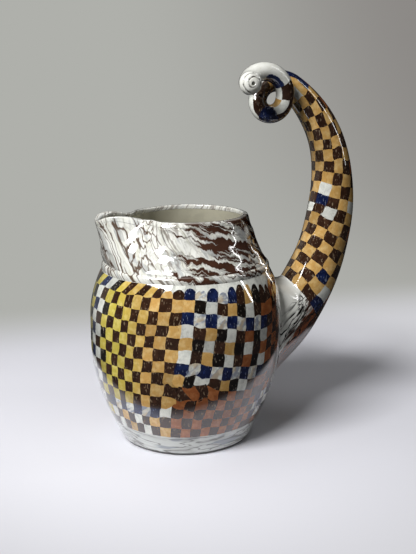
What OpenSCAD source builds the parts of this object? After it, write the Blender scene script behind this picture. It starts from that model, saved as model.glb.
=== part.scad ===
// Puzzle jug of coloured clays: a round-bellied jug with a pinched lip, inlaid with small clay
// checks, and a hollow handle that rises over the mouth, tapers and ends in a curl.
// The drink is drawn up through the handle, from the port in the belly to the eye of the curl.
// Frame: the origin is the middle of the face that the jug stands on, +Z is up, the handle is
// towards +X and the lip towards -X. All lengths are in millimetres.

/* [Foot] */
// Diameter of the face that the jug stands on
foot_d = 117; // [105:1:125]
// Thickness of the base slab
base_t = 5; // [3:0.5:8]
// Height of the foot band's upper edge
foot_h = 20; // [14:1:26]
// Diameter at the foot band's upper edge
foot_top_d = 134; // [128:1:142]

/* [Belly] */
// Diameter of the belly at its widest
belly_d = 165; // [155:1:180]
// Height where the widest part starts
belly_z = 92; // [82:1:96]
// Height of the straight part at the widest
belly_band = 16; // [4:1:20]
// Height of the upper edge of the checks
shoulder_z = 149; // [144:1:158]
// Diameter at the upper edge of the checks
shoulder_d = 144; // [138:1:150]

/* [Neck and rim] */
// Height of the coil that joins the neck to the shoulder
joint_coil_h = 6; // [4:0.5:9]
// How far the joint coil swells past a straight line
joint_coil_swell = 1.2; // [0:0.1:2.5]
// Outer diameter at the foot of the neck
neck_base_d = 139.5; // [134:0.5:144]
// Height of the rim
rim_z = 195; // [180:1:215]
// Outer diameter of the round part of the mouth
rim_d = 107; // [95:1:118]
// Height of the coil that finishes the rim
rim_coil_h = 4; // [2:0.5:6]

/* [Lip] */
// How far the pouring lip reaches past the round mouth
lip_reach = 25; // [12:1:32]
// Width of the lip's sector, in degrees
lip_sector = 110; // [90:2:130]
// Depth of the finger pinch on each side of the lip
lip_pinch = 10; // [0:0.5:13]
// Fall of the rim at the lip's tip, and its rise on the flanks
lip_wave = 3; // [0:0.25:4]

/* [Clay] */
// Thickness of the plain wall behind the checks
wall_t = 4; // [3:0.25:6]
// Thickness of the neck, the lip and the rim
neck_t = 4.5; // [3:0.25:6]
// Thickness of the inlaid checks
check_t = 2; // [1:0.25:3]
// Gap that the slip fills between two pieces of clay
slip_gap = 0.15; // [0.1:0.05:0.4]

/* [Checks on the belly] */
// Courses of checks, one above the other
check_rows = 13; // [8:1:16]
// Checks in one course, all the way round
check_columns = 52; // [36:4:64]
// Checks left out across the handle's pad
pad_columns = 10; // [8:2:14]
// First course that the handle's pad takes up
pad_first_row = 2; // [1:1:3]
// Courses that the handle's pad takes up
pad_rows = 10; // [8:1:10]

/* [Handle] */
// Height where the handle's middle line leaves the belly
handle_root_z = 82; // [74:1:90]
// Rise of the handle from the belly, in degrees
handle_rise = 45; // [38:1:52]
// Radius of the long bend
long_bend_r = 182; // [165:1:200]
// Turn of the long bend, in degrees
long_bend_turn = 48.5; // [42:0.5:54]
// Radius of the upper bend
upper_bend_r = 106; // [95:1:120]
// Turn of the upper bend, in degrees
upper_bend_turn = 49.5; // [44:0.5:54]
// Diameter of the handle at the belly
root_d = 51; // [44:0.5:54]
// Diameter of the handle half way to the curl
grip_d = 40; // [34:0.5:44]
// Diameter of the handle where the curl starts
curl_start_d = 21; // [18:0.5:23]
// Length of the marbled root, along the middle line
root_len = 40; // [36:1:48]
// How far the root flares up into the crook between handle and belly
root_flare = 12.5; // [0:0.5:20]
// Thickness of the handle's plain tube
handle_wall_t = 4.5; // [3:0.25:6]
// Diameter of the port from the belly into the handle
port_d = 24; // [14:1:28]
// Courses of checks along the handle
handle_rows = 19; // [12:1:22]
// Checks round the handle
handle_columns = 12; // [8:2:14]
// How far the checks wind round the handle, in degrees
handle_twist = 120; // [0:5:200]
// Slant of the lowest course of checks on the handle, as rise over run
handle_slant = 0.43; // [0:0.01:0.5]

/* [Curl] */
// Radius of the bend that leads into the curl
lead_r = 18; // [16:0.5:20]
// Turn of that bend, in degrees
lead_turn = 117; // [108:1:126]
// Radius of the curl's tight part
curl_r = 12.3; // [11.5:0.1:13.5]
// Turn of the tight part, in degrees
curl_turn = 161; // [150:1:170]
// Radius of the curl's last part
last_r = 17; // [15.5:0.5:18.5]
// Turn of the last part, in degrees
last_turn = 220; // [205:1:230]
// Sideways step of the curl for a whole turn
curl_pitch = 24; // [23:0.5:28]
// Lean of the curl towards the lip, for each unit of sideways step
curl_lean = 0.44; // [0.3:0.02:0.55]
// Climb of the curl, for each unit of sideways step
curl_climb = 0.23; // [0.1:0.02:0.35]
// How far the tip is pushed out sideways
tip_push = 19; // [15:0.5:22]
// How far the tip is lifted, so that its end faces sideways
tip_lift = 9; // [5:0.5:12]
// Diameter of the curl's tight part
curl_d = 15.2; // [13:0.2:16]
// Diameter of the tip
tip_d = 18.6; // [16:0.2:19.5]
// Length of the white tip, along the middle line
tip_len = 47; // [40:1:52]
// Diameter of the passage in the curl
passage_d = 5; // [4:0.25:6.5]
// Diameter of the sucking hole in the tip
sip_d = 3; // [2:0.25:4]
// Courses of checks along the curl
curl_rows = 7; // [6:1:9]
// Checks round the curl
curl_columns = 6; // [5:1:8]

/* [Hidden] */

// Fineness of the turned pieces
$fn = 96;

BROWN = "#3c281e";
YELLOW = "#d2b95a";
TAN = "#dcaa69";
BLACK = "#1a1613";
WHITE = "#dfe1d8";
BLUE = "#26386e";
TERRACOTTA = "#a05c30";
CREAM = "#b0ad97";
MARBLE = "#d8d6cc";

// Whole thickness of the belly: the checks, the slip behind them and the wall
belly_t = check_t + slip_gap + wall_t;
// Angle of the slip gap between two checks of one course
gap_angle = deg(slip_gap / (belly_d / 2));
neck_z = shoulder_z + joint_coil_h;
rim_coil_z = rim_z - rim_coil_h;

function deg(radians) = radians * 180 / PI;
function unit(v) = v / norm(v);
// Rises smoothly from 0 to 1 as t goes from 0 to 1
function smooth(t) = let (c = min(1, max(0, t))) c * c * (3 - 2 * c);
function mix(a, b, t) = a + (b - a) * t;

// Profile of the belly: an arc up to the widest part, a straight part and an arc to the shoulder.
// Both arcs stand upright where they meet the straight part, so two end points give each radius.
function upright_arc_r(inset, height) = (inset * inset + height * height) / (2 * inset);
low_rise = belly_z - foot_h;
low_r = upright_arc_r((belly_d - foot_top_d) / 2, low_rise);
low_len = low_r * asin(low_rise / low_r) * PI / 180;
high_z = belly_z + belly_band;
high_rise = shoulder_z - high_z;
high_r = upright_arc_r((belly_d - shoulder_d) / 2, high_rise);
high_len = high_r * asin(high_rise / high_r) * PI / 180;
profile_len = low_len + belly_band + high_len;
row_h = profile_len / check_rows;

// Point [radius, height] of the profile, a length up it, moved outwards by a distance
function profile(along, out) =
    along < low_len
    ? let (a = deg((low_len - along) / low_r))
        [belly_d / 2 - low_r + (low_r + out) * cos(a), belly_z - (low_r + out) * sin(a)]
    : along < low_len + belly_band
    ? [belly_d / 2 + out, belly_z + along - low_len]
    : let (a = deg((along - low_len - belly_band) / high_r))
        [belly_d / 2 - high_r + (high_r + out) * cos(a), high_z + (high_r + out) * sin(a)];

// Radius of the profile at a height below the straight part, or on it
function belly_radius(z) =
    belly_d / 2 - low_r + sqrt(low_r * low_r - pow(max(0, belly_z - z), 2));

// The profile's corner points between two courses, moved outwards
function course_points(first, last, out, inset = 0) = [
    for (row = [first:last])
        profile(row * row_h + (row == first ? inset : row == last ? -inset : 0), out)
];
function reversed(list) = [for (k = [len(list) - 1:-1:0]) list[k]];

// Foot: a straight flare from the resting face to the lowest course
function foot_radius(z) = mix(foot_d, foot_top_d, z / foot_h) / 2;

// Neck: a straight cone, from which the lip swells out on the -X side
function neck_share(z) = max(0, (z - neck_z) / (rim_z - neck_z));
function neck_radius(z) = mix(neck_base_d, rim_d, neck_share(z)) / 2;
// Swell of the lip at a height: u is 0 in the lip's middle and 1 at the edges of its sector.
// The lip starts broad and low on the neck and narrows to a beak between the two pinches.
lip_lean = 0.8;
lip_broad = 2.5;
lip_narrow = 5;
// Highest value of u * u * (1 - u * u) ^ 2, for a pinch of full depth
pinch_peak = 4 / 27;
function lip_swell(u, z) =
    let (w = max(0, 1 - u * u), t = neck_share(z))
    lip_reach * pow(t, lip_lean) * pow(w, mix(lip_broad, lip_narrow, t))
    - lip_pinch * t * t * u * u * w * w / pinch_peak;
// The rim falls at the tip, rises on the lip's flanks and is level again at the pinches
lip_wave_end = 0.6;
function rim_wave(u) = -lip_wave * cos(360 * u / lip_wave_end) * pow(max(0, 1 - u * u), 4);
// The inside of the lip is narrower than its outside, so that its flanks keep their thickness
lip_narrowing = 1.12;
function mouth_out(angle, z) = neck_radius(z) + lip_swell(lip_u(angle), z);
function mouth_in(angle, z) = neck_radius(z) - neck_t + lip_swell(lip_narrowing * lip_u(angle), z);
// Angles are counted from the lip's middle
function lip_u(angle) = min(1, abs(angle) / (lip_sector / 2));
function around(angle, r, z) = [-r * cos(angle), -r * sin(angle), z];

// Middle line of the handle: arcs [radius, turn] that follow on from one another in the XZ plane,
// and from the curl's start a sideways step towards -Y
handle_arcs = [
    [long_bend_r, long_bend_turn], [upper_bend_r, upper_bend_turn],
    [lead_r, lead_turn], [curl_r, curl_turn], [last_r, last_turn]
];
last_arc = len(handle_arcs) - 1;
function arc_len(k) = handle_arcs[k][0] * handle_arcs[k][1] * PI / 180;
function length_before(k) = k == 0 ? 0 : length_before(k - 1) + arc_len(k - 1);
function turn_before(k) = k == 0 ? 0 : turn_before(k - 1) + handle_arcs[k - 1][1];
function arc_step(k, turn) =
    let (h = handle_rise + turn_before(k))
    handle_arcs[k][0] * [sin(h + turn) - sin(h), cos(h) - cos(h + turn)];
function arc_start(k) =
    k == 0
    ? [belly_radius(handle_root_z), handle_root_z]
    : arc_start(k - 1) + arc_step(k - 1, handle_arcs[k - 1][1]);
arc_lengths = [for (k = [0:last_arc + 1]) length_before(k)];
arc_turns = [for (k = [0:last_arc + 1]) turn_before(k)];
arc_starts = [for (k = [0:last_arc]) arc_start(k)];
curl_start = arc_lengths[2];
path_len = arc_lengths[last_arc + 1];
path_turn = arc_turns[last_arc + 1];
tip_start = path_len - tip_len;

function arc_at(s, k = 0) = k == last_arc || s < arc_lengths[k + 1] ? k : arc_at(s, k + 1);
function turn_in_arc(s, k) = deg((s - arc_lengths[k]) / handle_arcs[k][0]);
function turned(s) = s <= 0 ? 0 : let (k = arc_at(s)) arc_turns[k] + turn_in_arc(s, k);
function plane_point(s) =
    s <= 0
    ? arc_starts[0] + s * [cos(handle_rise), sin(handle_rise)]
    : let (k = arc_at(s)) arc_starts[k] + arc_step(k, turn_in_arc(s, k));
// The sideways step grows from nothing over the first quarter turn of the curl
step_ease = 0.25;
function turns_in_curl(s) = max(0, turned(s) - arc_turns[2]) / 360;
function side_step(s) =
    let (t = turns_in_curl(s))
    curl_pitch * (t < step_ease ? t * t / (2 * step_ease) : t - step_ease / 2);
// Over the last part of its turn the tip swings out of the curl, slowly at first
tip_push_turn = 90;
tip_ease = 3;
function tip_share(s) = pow(max(0, turned(s) - path_turn + tip_push_turn) / tip_push_turn, tip_ease);
function middle(s) =
    let (p = plane_point(s), step = side_step(s), swing = tip_share(s))
    [p.x - curl_lean * step, -step - tip_push * swing, p.y + curl_climb * step + tip_lift * swing];

// Outer radius of the handle: a curve through its three diameters, then the curl's own
function tube_radius(s) =
    s <= 0 ? root_d / 2
    : s < curl_start
    ? let (t = s / curl_start)
        (root_d * (1 - t) * (1 - 2 * t) + 4 * grip_d * t * (1 - t) + curl_start_d * t * (2 * t - 1)) / 2
    : let (lead = min(1, (s - curl_start) / arc_len(2)))
        mix(mix(curl_start_d, curl_d, sin(90 * lead)), tip_d, tip_share(s)) / 2;
// The plain tube under the checks, and the passage inside it
function core_radius(s) = tube_radius(s) - check_t - slip_gap;
function passage_radius(s) = max(passage_d / 2, core_radius(s) - handle_wall_t);

// Point about the middle line: angle 0 is the inside of the bend, and a flare swells the tube there
path_step = 0.05;
function tube_point(s, r, a, flare) =
    let (
        t = unit(middle(s + path_step) - middle(s - path_step)),
        n = unit(cross(t, [0, 1, 0])),
        b = cross(t, n)
    )
    middle(s) + (r + flare * pow((1 + cos(a)) / 2, 2)) * (cos(a) * n + sin(a) * b);
// Ring of such points. The rings lean over, most at the root and not at all from the curl on.
function slant(s) = handle_slant * min(1, max(0, (curl_start - s) / (curl_start - root_len)));
function ring(s, r, angles, flare = 0) = [
    for (a = angles) tube_point(s + slant(s) * r * cos(a), r, a, flare)
];
function steps(from, to, count) = [for (k = [0:count]) mix(from, to, k / count)];
function round_angles(count, turn) = [for (k = [0:count - 1]) turn + 360 * k / count];

// Winding of the checks round the handle and the curl, in degrees at a length
function winding(s) = handle_twist * (s - root_len) / (curl_start - root_len);

// Which clay a check is cut from. The slabs stand side by side round the belly, each from its first
// angle on, and each repeats its own courses of clays, listed from the foot up.
function checker(a, b) = [[a, b], [b, a]];
blue_pair = ["white", "blue"];
function four_clays(warm) = ["black", "white", "brown", warm];
function four_turned(warm) = ["brown", warm, "black", "white"];
function mixed_slab(warm) =
    let (a = four_clays(warm), b = four_turned(warm), c = blue_pair)
    [b, c, a, c, b, a, c, b, a, b, c, a, c];
slabs = [
    [0, [["white", "brown"], ["brown", "tan"]]],
    [21, checker("brown", "tan")],
    [69, mixed_slab("tan")],
    [118, checker("brown", "terracotta")],
    [152, [["blue", "white", "black", "yellow"], ["white", "brown", "yellow", "black"]]],
    [187, checker("brown", "yellow")],
    [222, checker("brown", "tan")],
    [242, mixed_slab("tan")],
    [284, mixed_slab("terracotta")],
    [305, checker("brown", "terracotta")],
    [339, [["white", "brown"], ["brown", "tan"]]]
];
// Patches in the courses: [first angle, last angle, first row, last row, clays]
patches = [
    [187, 242, 2, 2, blue_pair],
    [187, 242, 0, 1, ["white", "brown", "tan", "brown"]],
    [242, 303, 0, 4, ["terracotta", "brown"]],
    [303, 325, 1, 3, blue_pair],
    [277, 305, 12, 12, ["brown", "tan", "black", "brown"]]
];
function cycle(list, k) = list[k % len(list)];
function slab_at(angle, k = 0) =
    k == len(slabs) - 1 || angle < slabs[k + 1][0] ? slabs[k] : slab_at(angle, k + 1);
function patch_at(angle, row) = [
    for (p = patches)
        if (angle >= p[0] && angle < p[1] && row >= p[2] && row <= p[3]) p[4]
];
function belly_clay(column, row) =
    let (angle = (column + 0.5) * 360 / check_columns, patch = patch_at(angle, row))
    len(patch) > 0
    ? cycle(patch[0], column + row)
    : cycle(cycle(slab_at(angle)[1], row), column);
// On the handle the checks are brown and tan, with terracotta for tan on the outside of the bend.
// A few white and blue ones stand among them: [column, row, clay], repeated half way round.
handle_accents = [
    [3, 0, "blue"], [3, 1, "white"], [2, 2, "blue"], [0, 7, "white"], [4, 7, "white"], [5, 8, "blue"],
    [2, 8, "white"], [5, 9, "white"], [0, 18, "blue"], [4, 18, "white"]
];
handle_course = (curl_start - root_len) / handle_rows;
// Direction of the outside of the bend round the tube, and half the width of its strip
outside_angle = 190;
outside_half = 50;
function on_outside(column, row) =
    let (a = (column + 0.5) * 360 / handle_columns + winding(root_len + (row + 0.5) * handle_course))
    cos(a - outside_angle) > cos(outside_half);
function handle_clay(column, row) =
    let (accent = [
        for (a = handle_accents) if (column % (handle_columns / 2) == a[0] && row == a[1]) a[2]
    ])
    len(accent) > 0 ? accent[0]
    : (column + row) % 2 == 0 ? "brown"
    : on_outside(column, row) ? "terracotta" : "tan";
// On the curl the checks are large, and each course has its own clays round the tube
curl_course = (tip_start - curl_start) / curl_rows;
curl_clays = [
    ["blue", "tan", "brown", "brown", "white", "tan"],
    ["white", "brown", "blue", "brown", "brown", "tan"],
    ["white", "blue", "tan", "white", "brown", "brown"],
    ["white", "tan", "blue", "tan", "brown", "brown"],
    ["brown", "white", "brown", "tan", "blue", "blue"],
    ["brown", "tan", "blue", "tan", "white", "brown"],
    ["brown", "white", "tan", "white", "brown", "brown"]
];
function curl_clay(column, row) = cycle(cycle(curl_clays, row), column);

// Closed block between an outer and an inner grid of points, both rows of columns. The columns
// run anticlockwise round the rows' direction, and a wrapped block closes on itself.
module block(outer, inner, wrapped) {
    rows = len(outer);
    columns = len(outer[0]);
    last_column = wrapped ? columns - 1 : columns - 2;
    shift = rows * columns;
    function at(i, j) = i * columns + j % columns;
    function under(i, j) = shift + at(i, j);
    function facing(a, b, c, d) = [[a, b, c], [a, c, d]];
    skins = [
        for (i = [0:rows - 2], j = [0:last_column])
            each concat(
                facing(at(i, j), at(i + 1, j), at(i + 1, j + 1), at(i, j + 1)),
                facing(under(i, j), under(i, j + 1), under(i + 1, j + 1), under(i + 1, j))
            )
    ];
    ends = [
        for (j = [0:last_column])
            let (k = rows - 1)
            each concat(
                facing(at(0, j), at(0, j + 1), under(0, j + 1), under(0, j)),
                facing(at(k, j), under(k, j), under(k, j + 1), at(k, j + 1))
            )
    ];
    sides = [
        if (!wrapped)
            for (i = [0:rows - 2])
                let (k = columns - 1)
                each concat(
                    facing(at(i, 0), under(i, 0), under(i + 1, 0), at(i + 1, 0)),
                    facing(at(i, k), at(i + 1, k), under(i + 1, k), under(i, k))
                )
    ];
    polyhedron([each each outer, each each inner], concat(skins, ends, sides));
}

// Tube along the middle line, from its outside to the passage in it
module tube(lengths, count, outside, passage) {
    function rings(radii) = [
        for (k = [0:len(lengths) - 1]) ring(lengths[k], radii[k], round_angles(count, winding(lengths[k])))
    ];
    block(rings(outside), rings(passage), true);
}

// One inlaid check on the handle or the curl, cut into a few facets each way
handle_facets = 2;
curl_facets = 3;
module tube_check(from, to, column, columns, facets_along, facets_round) {
    width = 360 / columns;
    gap = deg(slip_gap / tube_radius((from + to) / 2)) / 2;
    lengths = steps(from + slip_gap / 2, to - slip_gap / 2, facets_along);
    function angles(s) = [
        for (a = steps(column * width + gap, (column + 1) * width - gap, facets_round)) a + winding(s)
    ];
    block(
        [for (s = lengths) ring(s, tube_radius(s), angles(s))],
        [for (s = lengths) ring(s, tube_radius(s) - check_t, angles(s))],
        false
    );
}

// One inlaid check on the belly, a sector of a turned ring
module belly_check(column, row) {
    width = 360 / check_columns;
    rotate([0, 0, column * width + gap_angle / 2])
        rotate_extrude(angle = width - gap_angle)
            polygon(concat(
                course_points(row, row + 1, 0, slip_gap / 2),
                reversed(course_points(row, row + 1, -check_t, slip_gap / 2))
            ));
}

function on_pad(column, row) =
    (column < pad_columns / 2 || column >= check_columns - pad_columns / 2)
    && row >= pad_first_row && row < pad_first_row + pad_rows;

// All the checks of one clay on the belly, the handle or the curl
module belly_checks(clay) {
    for (row = [0:check_rows - 1], column = [0:check_columns - 1])
        if (!on_pad(column, row) && belly_clay(column, row) == clay)
            belly_check(column, row);
}
module handle_checks(clay) {
    for (row = [0:handle_rows - 1], column = [0:handle_columns - 1])
        if (handle_clay(column, row) == clay)
            tube_check(
                root_len + row * handle_course, root_len + (row + 1) * handle_course,
                column, handle_columns, 1, handle_facets
            );
}
module curl_checks(clay) {
    for (row = [0:curl_rows - 1], column = [0:curl_columns - 1])
        if (curl_clay(column, row) == clay)
            tube_check(
                curl_start + row * curl_course, curl_start + (row + 1) * curl_course,
                column, curl_columns, curl_facets, curl_facets
            );
}

// Port through the belly, along the first stretch of the handle
module port() {
    m = middle(0);
    through = 2 * (belly_t + port_d) / cos(handle_rise);
    translate(m)
        rotate([0, 90 - handle_rise, 0])
            cylinder(h = through, d = port_d, center = true);
}

// Everything inside the belly's outer face, grown by the slip gap
module belly_envelope() {
    skin = course_points(0, check_rows, slip_gap);
    rotate_extrude()
        polygon(concat([[0, skin[0].y]], skin, [[0, skin[check_rows].y]]));
}

module base_slab() {
    color(MARBLE)
        cylinder(h = base_t - slip_gap, d1 = foot_d, r2 = foot_radius(base_t - slip_gap));
}

module foot_band() {
    outer = foot_radius(base_t);
    color(MARBLE)
        rotate_extrude()
            polygon([
                [outer, base_t], profile(0, 0), profile(0, -belly_t), [outer - belly_t, base_t]
            ]);
}

module belly_wall() {
    color(CREAM)
        difference() {
            rotate_extrude()
                polygon(concat(
                    course_points(0, check_rows, -check_t - slip_gap, slip_gap),
                    reversed(course_points(0, check_rows, -belly_t, slip_gap))
                ));
            port();
        }
}

module joint_coil() {
    low = profile(profile_len + slip_gap, 0);
    high = [neck_base_d / 2, neck_z];
    // The neck's seat is wide enough for the coil to be as thick as the neck, square to its slope
    seat = neck_t * norm(high - low) / (high - low).y;
    swell = joint_coil_swell * [cos(45), sin(45)];
    outer = [for (t = [0:0.125:1]) mix(low, high, t) + 4 * t * (1 - t) * swell];
    color(MARBLE)
        rotate_extrude()
            polygon(concat(outer, [high - [seat, 0], profile(profile_len + slip_gap, -belly_t)]));
}

module neck_wall() {
    low = neck_z + slip_gap;
    high = rim_coil_z - slip_gap;
    sector = 360 - lip_sector - 2 * gap_angle;
    color(MARBLE)
        rotate([0, 0, 180 + lip_sector / 2 + gap_angle])
            rotate_extrude(angle = sector)
                polygon([
                    [neck_radius(low), low], [neck_radius(high), high],
                    [neck_radius(high) - neck_t, high], [neck_radius(low) - neck_t, low]
                ]);
}

// The lip and the rim over it are cut at the same angles, and the round part of the rim less often
lip_facets = 28;
lip_rings = 7;
rim_facets = 38;
rim_across = 5;
// Share of the rim coil's height that stands upright below its rounded top
rim_upright = 0.45;
lip_angles = steps(-lip_sector / 2, lip_sector / 2, lip_facets);
module lip() {
    // Height at a share of the way up to the rim coil's wavy seat
    function height(a, share) =
        mix(neck_z + slip_gap, rim_coil_z - slip_gap + rim_wave(lip_u(a)), share);
    shares = steps(0, 1, lip_rings);
    color(MARBLE)
        block(
            [for (t = shares) [for (a = lip_angles) let (z = height(a, t)) around(a, mouth_out(a, z), z)]],
            [for (t = shares) [for (a = lip_angles) let (z = height(a, t)) around(a, mouth_in(a, z), z)]],
            false
        );
}

module rim_coil() {
    angles = [
        each lip_angles,
        for (k = [1:rim_facets - 1]) mix(lip_sector / 2, 360 - lip_sector / 2, k / rim_facets)
    ];
    across = steps(0, 1, rim_across);
    // Height of the rounded top over the coil's flat seat, from its outer to its inner edge
    function crown(t) = rim_coil_h * mix(rim_upright, 1, sqrt(max(0, 1 - pow(2 * t - 1, 2))));
    function from_lip(a) = a > 180 ? a - 360 : a;
    function over(t, rise) = [
        for (a = angles)
            let (c = from_lip(a), z = rim_coil_z + rim_wave(lip_u(c)) + rise)
            around(c, mix(mouth_out(c, z), mouth_in(c, z), t), z)
    ];
    color(WHITE)
        block([for (t = across) over(t, crown(t))], [for (t = across) over(t, 0)], true);
}

module belly_checks_brown() { color(BROWN) belly_checks("brown"); }
module belly_checks_yellow() { color(YELLOW) belly_checks("yellow"); }
module belly_checks_tan() { color(TAN) belly_checks("tan"); }
module belly_checks_black() { color(BLACK) belly_checks("black"); }
module belly_checks_white() { color(WHITE) belly_checks("white"); }
module belly_checks_blue() { color(BLUE) belly_checks("blue"); }
module belly_checks_terracotta() { color(TERRACOTTA) belly_checks("terracotta"); }

module handle_pad() {
    width = 360 * pad_columns / check_columns;
    last = pad_first_row + pad_rows;
    color(MARBLE)
        difference() {
            rotate([0, 0, (gap_angle - width) / 2])
                rotate_extrude(angle = width - gap_angle)
                    polygon(concat(
                        course_points(pad_first_row, last, 0, slip_gap / 2),
                        reversed(course_points(pad_first_row, last, -check_t, slip_gap / 2))
                    ));
            port();
        }
}

// The flare is whole over the lower part of the root and dies away over this share of its length
flare_share = 0.35;
root_rings = 6;
module handle_root() {
    // The root starts a belly's thickness further inside than the lowest point of its cut end
    sunk = root_d / 2 * tan(handle_rise) + 2 * belly_t;
    lengths = concat([-sunk, 0], steps(root_len / 2, root_len - slip_gap, root_rings));
    function flare(s) = root_flare * smooth((root_len - s) / root_len / flare_share);
    sides = handle_columns * handle_facets;
    color(MARBLE)
        difference() {
            block(
                [for (s = lengths) ring(s, tube_radius(s), round_angles(sides, winding(s)), flare(s))],
                [for (s = lengths) ring(s, passage_radius(s), round_angles(sides, winding(s)))],
                true
            );
            belly_envelope();
        }
}

module handle_tube() {
    lengths = steps(root_len, curl_start - slip_gap, handle_rows);
    color(CREAM)
        tube(
            lengths, handle_columns * handle_facets,
            [for (s = lengths) core_radius(s)], [for (s = lengths) passage_radius(s)]
        );
}

module handle_checks_brown() { color(BROWN) handle_checks("brown"); }
module handle_checks_tan() { color(TAN) handle_checks("tan"); }
module handle_checks_white() { color(WHITE) handle_checks("white"); }
module handle_checks_blue() { color(BLUE) handle_checks("blue"); }
module handle_checks_terracotta() { color(TERRACOTTA) handle_checks("terracotta"); }

module curl_tube() {
    lengths = steps(curl_start, tip_start - slip_gap, curl_rows * curl_facets);
    color(CREAM)
        tube(
            lengths, curl_columns * curl_facets,
            [for (s = lengths) core_radius(s)], [for (s = lengths) passage_radius(s)]
        );
}

module curl_checks_white() { color(WHITE) curl_checks("white"); }
module curl_checks_brown() { color(BROWN) curl_checks("brown"); }
module curl_checks_blue() { color(BLUE) curl_checks("blue"); }
module curl_checks_tan() { color(TAN) curl_checks("tan"); }

// Rings along the tip, and the dome's turns in degrees from its widest ring
tip_rings = 9;
dome_turns = [18, 36, 54, 72];
module curl_tip() {
    // The tip ends in a dome round the sucking hole. Where the tip swings out, the middle line runs
    // longer than the arcs' own length, and the dome's length is counted along the arcs.
    swing_out = norm(middle(path_len) - middle(path_len - path_step)) / path_step;
    dome = tip_d / 2 / swing_out;
    body = [for (t = steps(0, 1, tip_rings)) mix(tip_start, path_len - dome, t * (2 - t))];
    lengths = concat(body, [for (a = dome_turns) path_len - dome + dome * sin(a)]);
    outside = concat(
        [for (s = body) tube_radius(s)],
        [for (a = dome_turns) mix(sip_d / 2, tube_radius(path_len), cos(a))]
    );
    passage = concat([for (s = body) passage_radius(s)], [for (a = dome_turns) sip_d / 2]);
    color(WHITE)
        tube(lengths, curl_columns * curl_facets, outside, passage);
}

base_slab();
foot_band();
belly_wall();
joint_coil();
neck_wall();
lip();
rim_coil();
belly_checks_brown();
belly_checks_yellow();
belly_checks_tan();
belly_checks_black();
belly_checks_white();
belly_checks_blue();
belly_checks_terracotta();
handle_pad();
handle_root();
handle_tube();
handle_checks_brown();
handle_checks_tan();
handle_checks_white();
handle_checks_blue();
handle_checks_terracotta();
curl_tube();
curl_checks_white();
curl_checks_brown();
curl_checks_blue();
curl_checks_tan();
curl_tip();
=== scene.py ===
# %% [markdown]
# # A jug inlaid with checks of coloured clay
#
# This jug is hand-built: slabs of small clay squares are cut, laid edge to edge round a plain wall,
# and covered with a clear gloss glaze. Above them sits a neck of marbled clay with a pinched lip, and
# a hollow handle climbs from the belly and ends in a curl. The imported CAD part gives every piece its
# place and its size. Here each piece gets the small unevenness of hand work, and its clay and glaze.

import bmesh
import bpy
import numpy as np
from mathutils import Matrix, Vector


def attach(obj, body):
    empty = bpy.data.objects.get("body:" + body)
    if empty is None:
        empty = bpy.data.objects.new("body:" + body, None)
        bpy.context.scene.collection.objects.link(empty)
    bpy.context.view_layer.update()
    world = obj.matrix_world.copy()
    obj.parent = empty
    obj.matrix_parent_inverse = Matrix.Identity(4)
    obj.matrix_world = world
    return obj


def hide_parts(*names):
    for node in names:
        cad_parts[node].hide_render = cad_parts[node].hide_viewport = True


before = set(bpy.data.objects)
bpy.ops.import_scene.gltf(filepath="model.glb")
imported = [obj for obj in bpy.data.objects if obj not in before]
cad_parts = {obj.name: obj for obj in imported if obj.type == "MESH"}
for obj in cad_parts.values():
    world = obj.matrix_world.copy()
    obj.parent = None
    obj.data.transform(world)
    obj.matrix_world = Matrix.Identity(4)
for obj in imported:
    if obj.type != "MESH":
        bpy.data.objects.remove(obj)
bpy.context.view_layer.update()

# %% [markdown]
# ## Camera
#
# The photograph was taken from a little above the rim, with the handle on the right. The distance
# and the tilt come from the ellipses at the foot and the rim: the flatter an ellipse is, the nearer
# its height is to the lens.

# %% Camera
camera_place = (-0.1764, -0.6584, 0.300)
camera_tilt, camera_heading = np.radians(76.7), np.radians(-16.635)
camera_lens, sensor_width = 52.6, 36


def new_object(name, data):
    """A new object in the scene that shows a camera, a lamp or a mesh."""
    made = bpy.data.objects.new(name, data)
    bpy.context.scene.collection.objects.link(made)
    return made


camera_data = bpy.data.cameras.new("camera")
camera_data.lens = camera_lens
camera_data.sensor_width = sensor_width
camera = new_object("camera", camera_data)
camera.location = camera_place
camera.rotation_euler = (camera_tilt, 0, camera_heading)
bpy.context.scene.camera = camera
print("camera at", camera_place)

# %% [markdown]
# ## Shaders from nodes
#
# Every finish below is a small network of nodes. Writing `tree.nodes.new` for each of them makes long
# code. So the output of a node is wrapped as a signal, and signals can be added, subtracted, multiplied
# and divided as numbers are. Each such step makes the Math node that does it.

# %% Signals
class Signal:
    """An output of a shader node. Working with it makes Math nodes in the same tree."""

    def __init__(self, tree, socket):
        self.tree = tree
        self.socket = socket

    def __add__(self, other):
        return number("ADD", self, other)

    def __sub__(self, other):
        return number("SUBTRACT", self, other)

    def __rsub__(self, other):
        return number("SUBTRACT", other, self)

    def __mul__(self, other):
        return number("MULTIPLY", self, other)

    def __truediv__(self, other):
        return number("DIVIDE", self, other)


def fill(socket, value):
    """Links an input socket to a signal, or sets it to a number or a colour."""
    if isinstance(value, Signal):
        value.tree.links.new(value.socket, socket)
    else:
        socket.default_value = value


def add_node(tree, kind, inputs, **settings):
    """A new shader node with its settings and its filled inputs. Returns its outputs as signals, by
    their number and by their name."""
    made = tree.nodes.new("ShaderNode" + kind)
    for key, value in settings.items():
        setattr(made, key, value)
    for key, value in inputs.items():
        fill(made.inputs[key], value)
    outputs = {}
    for index, socket in enumerate(made.outputs):
        outputs[index] = outputs[socket.name] = Signal(tree, socket)
    return outputs


print("a node's outputs are now signals")

# %% Helpers for node trees
def number(operation, first, second=0.0):
    """A number worked out from two others, at least one of them a signal."""
    tree = first.tree if isinstance(first, Signal) else second.tree
    return add_node(tree, "Math", {0: first, 1: second}, operation=operation)[0]


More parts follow.
